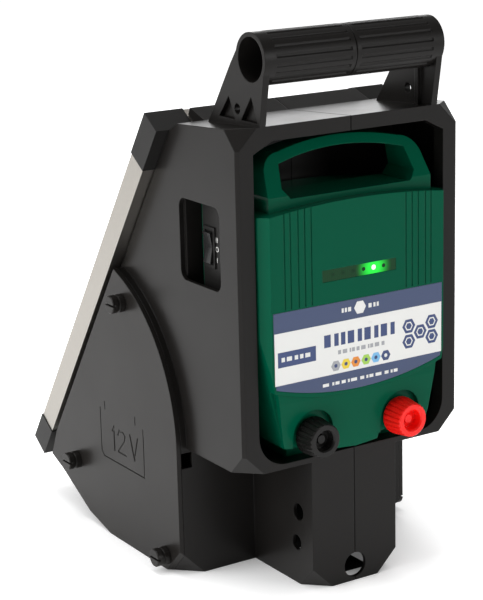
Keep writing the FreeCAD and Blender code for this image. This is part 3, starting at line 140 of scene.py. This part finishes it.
def metal(name, colour, roughness, stretch, scale=300):
    paint = Paint(name, colour, roughness, metallic=1.0)
    paint.mottle(paint.noise(scale, 3, stretch), 0.1)
    paint.worn(paint.noise(scale, 4, stretch), 0.1)
    paint.bump(paint.noise(scale, 2, stretch), 0.00002, 0.5)
    return paint.done()


black = moulded("carrier_black", (0.0095, 0.0086, 0.0080), 0.31, specular=0.14, edge=0.0009)
cover_black = moulded("cover_black", (0.013, 0.0117, 0.0108), 0.33, specular=0.14, edge=0.0009)
cap_black = moulded("cap_black", (0.012, 0.0115, 0.011), 0.45, specular=0.16)
green = moulded(
    "module_green", (0.0, 0.08, 0.041), 0.2, grain=900, depth=0.00002, mottling=0.05, specular=0.05, edge=0.0009,
)
red = moulded("knob_red", (0.95, 0.012, 0.008), 0.25, grain=700, depth=0.00002, specular=0.25)
knob_black = moulded("knob_black", (0.01, 0.0095, 0.009), 0.25, grain=700, depth=0.00002, specular=0.18)
rocker_black = moulded("rocker_black", (0.012, 0.012, 0.012), 0.2, grain=700, depth=0.00002)
aluminium = metal("anodised_rail", (0.36, 0.34, 0.31), 0.36, (40, 1, 1))
zinc = metal("zinc_steel", (0.6, 0.6, 0.58), 0.3, (1, 30, 1))
iron = metal("core_iron", (0.3, 0.3, 0.31), 0.5, (1, 80, 1))
rubber = moulded("seal_rubber", (0.012, 0.012, 0.012), 0.75)
battery_grey = moulded("battery_case", (0.05, 0.05, 0.055), 0.45)
lid_black = moulded("battery_lid", (0.02, 0.02, 0.022), 0.4)
capacitor_blue = moulded("capacitor_sleeve", (0.02, 0.035, 0.12), 0.3)


LIT_LAMP = (12.3, 239.6)


def lens_material():
    """Tinted window; the light of the lit lamp behind it is painted on as a glow round one spot."""
    paint = Paint("window_lens", (0.0005, 0.02, 0.008), 0.12, specular=0.15)
    wave = paint.node("ShaderNodeTexWave", Vector=paint.coordinates, Scale=180.0)
    paint.mottle(wave.outputs["Fac"], 0.2)
    paint.bump(paint.noise(60, 2), 0.0001, 0.2)
    away = paint.node("ShaderNodeVectorMath", Vector=paint.coordinates)
    away.operation = "DISTANCE"
    away.inputs[1].default_value = row(LIT_LAMP[0], -8.9, LIT_LAMP[1])
    fall = paint.node("ShaderNodeMapRange", Value=away.outputs["Value"])
    fall.interpolation_type = "SMOOTHERSTEP"
    fall.inputs["From Min"].default_value = 0.0
    fall.inputs["From Max"].default_value = 0.017
    fall.inputs["To Min"].default_value = 1.1
    fall.inputs["To Max"].default_value = 0.02
    # Painted glow: the lens itself emits light round the lit lamp, fading with distance.
    paint.feed(paint.shader.inputs["Emission Color"], (0.02, 1.0, 0.06, 1))
    paint.feed(paint.shader.inputs["Emission Strength"], fall.outputs[0])
    return paint.done()


def board_material():
    paint = Paint("circuit_board", (0.01, 0.12, 0.04), 0.4)
    cells = paint.node("ShaderNodeTexVoronoi", Vector=paint.coordinates, Scale=160.0)
    paint.mottle(cells.outputs["Distance"], 0.35)
    paint.bump(paint.noise(400, 2), 0.00005, 0.4)
    return paint.done()


def coil_material():
    paint = Paint("coil_wire", (0.42, 0.16, 0.05), 0.3, metallic=0.6)
    wave = paint.node("ShaderNodeTexWave", Vector=paint.coordinates, Scale=500.0)
    paint.mottle(wave.outputs["Fac"], 0.3)
    paint.bump(wave.outputs["Fac"], 0.0003, 0.6)
    return paint.done()


def glass_material():
    paint = Paint("solar_glass", (0.9, 0.94, 0.96), 0.03)
    paint.shader.inputs["Transmission Weight"].default_value = 1.0
    paint.shader.inputs["IOR"].default_value = 1.45
    paint.bump(paint.noise(500, 2), 0.00001, 0.3)
    return paint.done()


def lamp_material():
    paint = Paint("lamp_lens", (0.004, 0.035, 0.012), 0.3, specular=0.1)
    paint.bump(paint.noise(300, 2), 0.00002, 0.3)
    return paint.done()


def glow_material():
    paint = Paint("lamp_glow", (0.3, 0.9, 0.25), 0.3)
    paint.feed(paint.shader.inputs["Emission Color"], (0.28, 1.0, 0.3, 1))
    paint.feed(paint.shader.inputs["Emission Strength"], paint.ramp(paint.noise(900, 2), 2.5, 3.5))
    return paint.done()


lens = lens_material()
board = board_material()
coil = coil_material()
glass = glass_material()
lamp = lamp_material()
glow = glow_material()
cell_base = moulded("cell_backsheet", (0.55, 0.57, 0.6), 0.5)


def printed(name, colour, roughness=0.3):
    return moulded(name, colour, roughness, grain=2500, depth=0.00001, mottling=0.04)


label_blue = printed("label_blue", (0.028, 0.05, 0.13))
label_white = printed("label_white", (0.78, 0.78, 0.76))
label_ink = printed("label_ink", (0.02, 0.045, 0.16))
label_grey = printed("label_grey", (0.35, 0.36, 0.38))
label_yellow = printed("label_yellow", (0.8, 0.6, 0.03))
label_orange = printed("label_orange", (0.75, 0.25, 0.02))
label_lime = printed("label_lime", (0.35, 0.6, 0.08))
label_sky = printed("label_sky", (0.16, 0.45, 0.75))
mark_white = printed("mark_white", (0.75, 0.75, 0.73))

NODE_MATERIALS = {
    black: ["housing_left", "housing_right"],
    cover_black: ["battery_cover_left", "battery_cover_right"],
    cap_black: [
        "panel_cap_top_left", "panel_cap_top_right", "panel_cap_bottom_left", "panel_cap_bottom_right",
        "junction_box", "switch_body",
    ],
    green: ["energiser_front", "energiser_back"],
    red: ["fence_knob"],
    knob_black: ["earth_knob"],
    rocker_black: ["switch_rocker"],
    aluminium: ["panel_rail_left", "panel_rail_right", "panel_rail_top", "panel_rail_bottom"],
    zinc: [
        "earth_stud", "earth_nut", "earth_washer", "fence_stud", "fence_nut", "fence_washer",
        "housing_screws", "case_screws", "battery_terminal_positive", "battery_terminal_negative",
    ],
    iron: ["transformer_core"],
    rubber: ["battery_pad", "case_gasket"],
    battery_grey: ["battery_case"],
    lid_black: ["battery_lid"],
    capacitor_blue: ["storage_capacitor"],
    lens: ["light_window"],
    board: ["led_board", "main_board"],
    coil: ["transformer_coil"],
    glass: ["solar_glass"],
    lamp: ["led_lamps"],
    cell_base: ["cell_laminate"],
    label_blue: ["front_label"],
}


def dress(piece, material):
    piece.data.materials.clear()
    piece.data.materials.append(material)


for material, names in NODE_MATERIALS.items():
    for name in names:
        dress(nodes[name], material)
for name, piece in nodes.items():
    if name.startswith("thumbscrew"):
        dress(piece, cover_black)


# ---------------------------------------------------------------- pieces added to the CAD parts

def mesh_piece(name, vertices, faces, material, body):
    mesh = bpy.data.meshes.new(name)
    mesh.from_pydata([tuple(point) for point in vertices], [], faces)
    mesh.update()
    piece = bpy.data.objects.new(name, mesh)
    bpy.context.scene.collection.objects.link(piece)
    mesh.materials.append(material)
    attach(piece, body)
    return piece


def plate(name, outline, material, body, to_row, thick):
    """A thin sheet: outline points (u, v) go through to_row(u, v, out)."""
    count = len(outline)
    vertices = [to_row(u, v, 0.0) for u, v in outline] + [to_row(u, v, thick) for u, v in outline]
    faces = [list(range(count))[::-1], list(range(count, 2 * count))]
    faces += [[i, (i + 1) % count, (i + 1) % count + count, i + count] for i in range(count)]
    return mesh_piece(name, vertices, faces, material, body)


LABEL_FACE = -8.98


def on_label(u, v, out):
    """A point on the front label: across, height, and how far out of the label."""
    return row(u, LABEL_FACE - out, v)


def arc_height(x, low):
    """Height of the step's arc at x, for an arc whose middle is at low."""
    radius = 240.0
    return low + radius - math.sqrt(radius * radius - x * x)


def band(left, right, low, high, arched=False, steps=24):
    """Outline of a band across the label; an arched one follows the label's lower edge."""
    if not arched:
        return [(left, low), (right, low), (right, high), (left, high)]
    spaced = [left + (right - left) * i / steps for i in range(steps + 1)]
    return [(x, arc_height(x, low)) for x in spaced] + [(right, high), (left, high)]


def hexagon(x, z, radius, turn=0.0):
    return [
        (x + radius * math.cos(math.radians(60 * i + turn)), z + radius * math.sin(math.radians(60 * i + turn)))
        for i in range(6)
    ]


BODY = "carrier"
plate("label_white_band", band(-73.2, 73.2, 166.6, 204.5), label_white, BODY, on_label, 0.03)
HEXAGONS = [
    (-21.5, 172.5, 4.2, label_grey), (-12.7, 172.5, 4.2, label_yellow), (-4.1, 172.5, 4.2, label_orange),
    (5.0, 172.5, 4.2, label_lime), (13.7, 172.5, 4.2, label_sky), (22.5, 172.5, 4.2, label_ink),
    (43.4, 190.7, 5.9, label_ink), (43.4, 179.2, 5.9, label_ink), (53.8, 184.9, 5.9, label_ink),
    (64.3, 190.8, 5.9, label_ink), (64.4, 179.5, 5.9, label_ink),
]
for number, (x, z, radius, ink) in enumerate(HEXAGONS):
    plate(f"label_hexagon_{number}", hexagon(x, z, radius), ink, BODY, on_label, 0.05)
    core = label_white if ink is label_ink else label_ink
    if number < 6:
        plate(f"label_hexagon_core_{number}", hexagon(x, z, 1.5, 30), core, BODY, on_label, 0.07)
    else:
        plate(f"label_hexagon_ring_{number}", hexagon(x, z, 3.6), label_white, BODY, on_label, 0.065)
        plate(f"label_hexagon_dot_{number}", hexagon(x, z, 2.6), label_ink, BODY, on_label, 0.08)


def bars(name, x0, x1, z0, z1, material, pattern, gap=0.35):
    """Generic blocks that stand where printing would be; pattern gives their relative widths."""
    total = sum(pattern)
    at = x0
    for number, share in enumerate(pattern):
        wide = (x1 - x0) * share / total
        outline = band(at, at + wide * (1 - gap), z0, z1)
        plate(f"{name}_{number}", outline, material, BODY, on_label, 0.06)
        at += wide


bars("label_title", -31.4, 32.7, 187.2, 196.4, label_ink, [3, 2, 2, 3, 2, 3, 2, 3, 2])
bars("label_subtitle", -19.5, 22.8, 180.6, 183.6, label_grey, [2, 3, 1, 2, 2, 3, 1, 2, 3, 2])
bars("label_slogan", -33, 35, 158.4, 160.8, label_white, [3, 1, 2, 2, 1, 3, 2, 1, 2, 3, 2, 1, 2])
plate("label_plate_left", band(-70.6, -38.5, 179.5, 190.5), label_ink, BODY, on_label, 0.05)
bars("label_plate_bars", -67.6, -41.0, 183.4, 186.6, label_white, [2, 3, 2, 2, 3])
plate("label_top_block", hexagon(0, 212.2, 5.2), label_white, BODY, on_label, 0.05)
bars("label_top_bars", -16, -6.4, 210.6, 213.8, label_white, [2, 2, 3])
bars("label_top_bars_right", 7.4, 17.5, 210.6, 213.8, label_white, [3, 2, 2])

# Lit lamp behind its window
lit = []
for i in range(20):
    turn = 2 * math.pi * i / 20
    lit.append((LIT_LAMP[0] + 1.9 * math.cos(turn), LIT_LAMP[1] + 1.9 * math.sin(turn)))
plate("lit_lamp", lit, glow, BODY, lambda u, v, out: row(u, -8.81 - out, v), 0.03)
for number, x in enumerate((-22.9, -14.1, -5.3, 3.5, 21.1)):
    dim = [(x + 1.5 * math.cos(math.pi * i / 8), 239.6 + 1.5 * math.sin(math.pi * i / 8)) for i in range(16)]
    plate(f"dark_lamp_{number}", dim, lamp, BODY, lambda u, v, out: row(u, -8.81 - out, v), 0.02)


# Solar cells under the glass
TILT = math.radians(55.07)
PANEL_TOP = row(0, 105.7, 347.3)
DOWN = Vector((0, math.cos(TILT), -math.sin(TILT)))
OUT = Vector((0, math.sin(TILT), math.cos(TILT)))


def on_panel(x, along, out):
    """A point on the panel: across, down the slope, and out of the frame's upper face."""
    return PANEL_TOP + Vector((x / 1000, 0, 0)) + DOWN * (along / 1000) + OUT * (out / 1000)


def cell_material():
    paint = Paint("solar_cell", (0.004, 0.008, 0.03), 0.15, coat=0.6)
    crystals = paint.node("ShaderNodeTexVoronoi", Vector=paint.coordinates, Scale=90.0)
    paint.mottle(crystals.outputs["Distance"], 0.35)
    paint.worn(paint.noise(30, 2), 0.05)
    return paint.done()


cell_blue = cell_material()
silver = metal("cell_busbar", (0.75, 0.75, 0.76), 0.3, (1, 1, 1))
COLUMNS = 2
ROWS = 9
CELL_LOW = -4.79
for column in range(COLUMNS):
    for line in range(ROWS):
        x0 = -84 + column * 85
        along0 = 24 + line * 36
        outline = [
            (x0 + 3, along0), (x0 + 80, along0), (x0 + 83, along0 + 3), (x0 + 83, along0 + 31),
            (x0 + 80, along0 + 34), (x0 + 3, along0 + 34), (x0, along0 + 31), (x0, along0 + 3),
        ]
        plate(
            f"cell_{column}_{line}", outline, cell_blue, BODY,
            lambda u, v, out: on_panel(u, v, CELL_LOW - out), -0.02,
        )
for column in range(COLUMNS):
    for bar in range(3):
        x = -84 + column * 85 + 14 + bar * 27.5
        plate(
            f"busbar_{column}_{bar}", [(x - 0.6, 22), (x + 0.6, 22), (x + 0.6, 348), (x - 0.6, 348)], silver, BODY,
            lambda u, v, out: on_panel(u, v, CELL_LOW - out), -0.04,
        )


# Marks beside the switch, on the case's left side
def on_case_side(u, v, out):
    return row(-80.33 - out, u, v)


plate(
    "switch_surround", [(17, 224), (71, 224), (71, 293), (17, 293)], cap_black, BODY,
    lambda u, v, out: row(-80.01 - out, u, v), 0.3,
)
for number, (x0, x1, z0, z1) in enumerate([
    (56.6 - 3.6, 56.6 - 3.0, 259.6, 263.2), (56.6 - 2.0, 56.6 - 1.4, 259.6, 263.2),
    (56.6 - 2.8, 56.6 - 2.2, 244.9, 248.5),
]):
    shifted = [(x0 - 2, z0), (x1 - 2, z0), (x1 - 2, z1), (x0 - 2, z1)]
    plate(f"switch_mark_{number}", shifted, mark_white, BODY, on_case_side, 0.04)


def ring_piece(name, centre, outer, inner, material, to_row, thick, steps=24):
    """A flat ring."""
    vertices = []
    for out in (0.0, thick):
        for radius in (outer, inner):
            for i in range(steps):
                turn = 2 * math.pi * i / steps
                vertices.append(to_row(centre[0] + radius * math.cos(turn), centre[1] + radius * math.sin(turn), out))
    faces = []
    for i in range(steps):
        j = (i + 1) % steps
        faces.append([i, j, steps + j, steps + i])
        faces.append([2 * steps + j, 2 * steps + i, 3 * steps + i, 3 * steps + j])
        faces.append([i, 2 * steps + i, 2 * steps + j, j])
        faces.append([steps + j, 3 * steps + j, 3 * steps + i, steps + i])
    return mesh_piece(name, vertices, faces, material, BODY)


ring_piece("switch_mark_off", (51.9, 254.6), 1.9, 1.35, mark_white, on_case_side, 0.04)


# ---------------------------------------------------------------- floor, light and camera

def stage_material(name, colour, roughness, glow_strength):
    paint = Paint(name, colour, roughness, specular=0.1)
    paint.mottle(paint.noise(6, 3), 0.01)
    paint.feed(paint.shader.inputs["Emission Color"], (1, 1, 1, 1))
    # The floor's glow is scaled by ambient occlusion: painted shade, darker under and near the object where shade
    # falls.
    contact_shade_ao = paint.node("ShaderNodeAmbientOcclusion", Distance=0.1)
    paint.feed(paint.shader.inputs["Emission Strength"], paint.ramp(contact_shade_ao.outputs["AO"], 0.0, glow_strength))
    return paint.done()


bpy.ops.mesh.primitive_plane_add(size=30, location=(0, 0, -0.0002))
floor = bpy.context.active_object
floor.name = "floor"
floor.data.materials.append(stage_material("floor_white", (0.8, 0.8, 0.8), 0.9, 0.82))
# A dark sheet on the floor inside the column's channel: painted shade, so the floor seen through the column's hole
# reads dark.
bpy.ops.mesh.primitive_plane_add(size=1, location=(0, FRONT_Y + 0.042, -0.0001))
shade = bpy.context.active_object
shade.name = "floor_shade"
shade.scale = (0.05, 0.05, 1)
shade.data.materials.append(stage_material("floor_painted_shade", (0.03, 0.03, 0.03), 0.9, 0.0))

world = bpy.data.worlds.new("studio")
bpy.context.scene.world = world
world.use_nodes = True
tree = world.node_tree
background = tree.nodes["Background"]
background.inputs["Color"].default_value = (1.0, 1.0, 1.0, 1)
background.inputs["Strength"].default_value = 0.26
seen = tree.nodes.new("ShaderNodeBackground")
seen.inputs["Color"].default_value = (1.0, 1.0, 1.0, 1)
seen.inputs["Strength"].default_value = 1.0
path = tree.nodes.new("ShaderNodeLightPath")
either = tree.nodes.new("ShaderNodeMixShader")
tree.links.new(path.outputs["Is Camera Ray"], either.inputs[0])
tree.links.new(background.outputs[0], either.inputs[1])
tree.links.new(seen.outputs[0], either.inputs[2])
tree.links.new(either.outputs[0], tree.nodes["World Output"].inputs["Surface"])
bpy.context.scene.view_settings.view_transform = "Standard"


def area_light(name, position, target, power, width, height, colour=(1, 1, 1)):
    lamp_data = bpy.data.lights.new(name, "AREA")
    lamp_data.shape = "RECTANGLE"
    lamp_data.size = width
    lamp_data.size_y = height
    lamp_data.energy = power
    lamp_data.color = colour
    lit_object = bpy.data.objects.new(name, lamp_data)
    bpy.context.scene.collection.objects.link(lit_object)
    lit_object.location = position
    lit_object.rotation_mode = "QUATERNION"
    lit_object.rotation_quaternion = (Vector(target) - Vector(position)).to_track_quat("-Z", "Y")
    return lit_object


area_light("key_left", (-2.0, 0.3, 1.0), (0, 0, 0.2), 34, 1.2, 1.4)
area_light("top_soft", (-0.1, 0.2, 2.0), (0, 0, 0.2), 18, 1.2, 1.0)
area_light("back_sheen", (0.9, 2.0, 0.75), (0, 0, 0.3), 13, 1.8, 1.0)
area_light("front_fill", (1.1, -2.2, 0.9), (0, 0, 0.2), 12, 0.8, 1.0)

camera_data = bpy.data.cameras.new("camera")
camera = bpy.data.objects.new("camera", camera_data)
bpy.context.scene.collection.objects.link(camera)
bpy.context.scene.camera = camera
AZIMUTH = math.radians(33.056)
ELEVATION = math.radians(15.198)
ROLL = math.radians(-1.178)
DISTANCE = 1309.06
TARGET = row(-65.363, 0, 120.725 + 100.5)
back = Vector((
    -math.sin(AZIMUTH) * math.cos(ELEVATION), -math.cos(AZIMUTH) * math.cos(ELEVATION), math.sin(ELEVATION),
))
camera.location = TARGET + back * (DISTANCE / 1000)
right = (-back).cross(Vector((0, 0, 1))).normalized()
up = right.cross(-back)
turned_right = math.cos(ROLL) * right + math.sin(ROLL) * up
turned_up = -math.sin(ROLL) * right + math.cos(ROLL) * up
camera.matrix_world = Matrix((
    (turned_right.x, turned_up.x, back.x, camera.location.x),
    (turned_right.y, turned_up.y, back.y, camera.location.y),
    (turned_right.z, turned_up.z, back.z, camera.location.z),
    (0, 0, 0, 1),
))
camera_data.sensor_fit = "AUTO"
camera_data.sensor_width = 36
camera_data.lens = 112.96
camera_data.shift_x = -0.0576
camera_data.shift_y = 0.0116
camera_data.clip_start = 0.05
camera_data.clip_end = 60
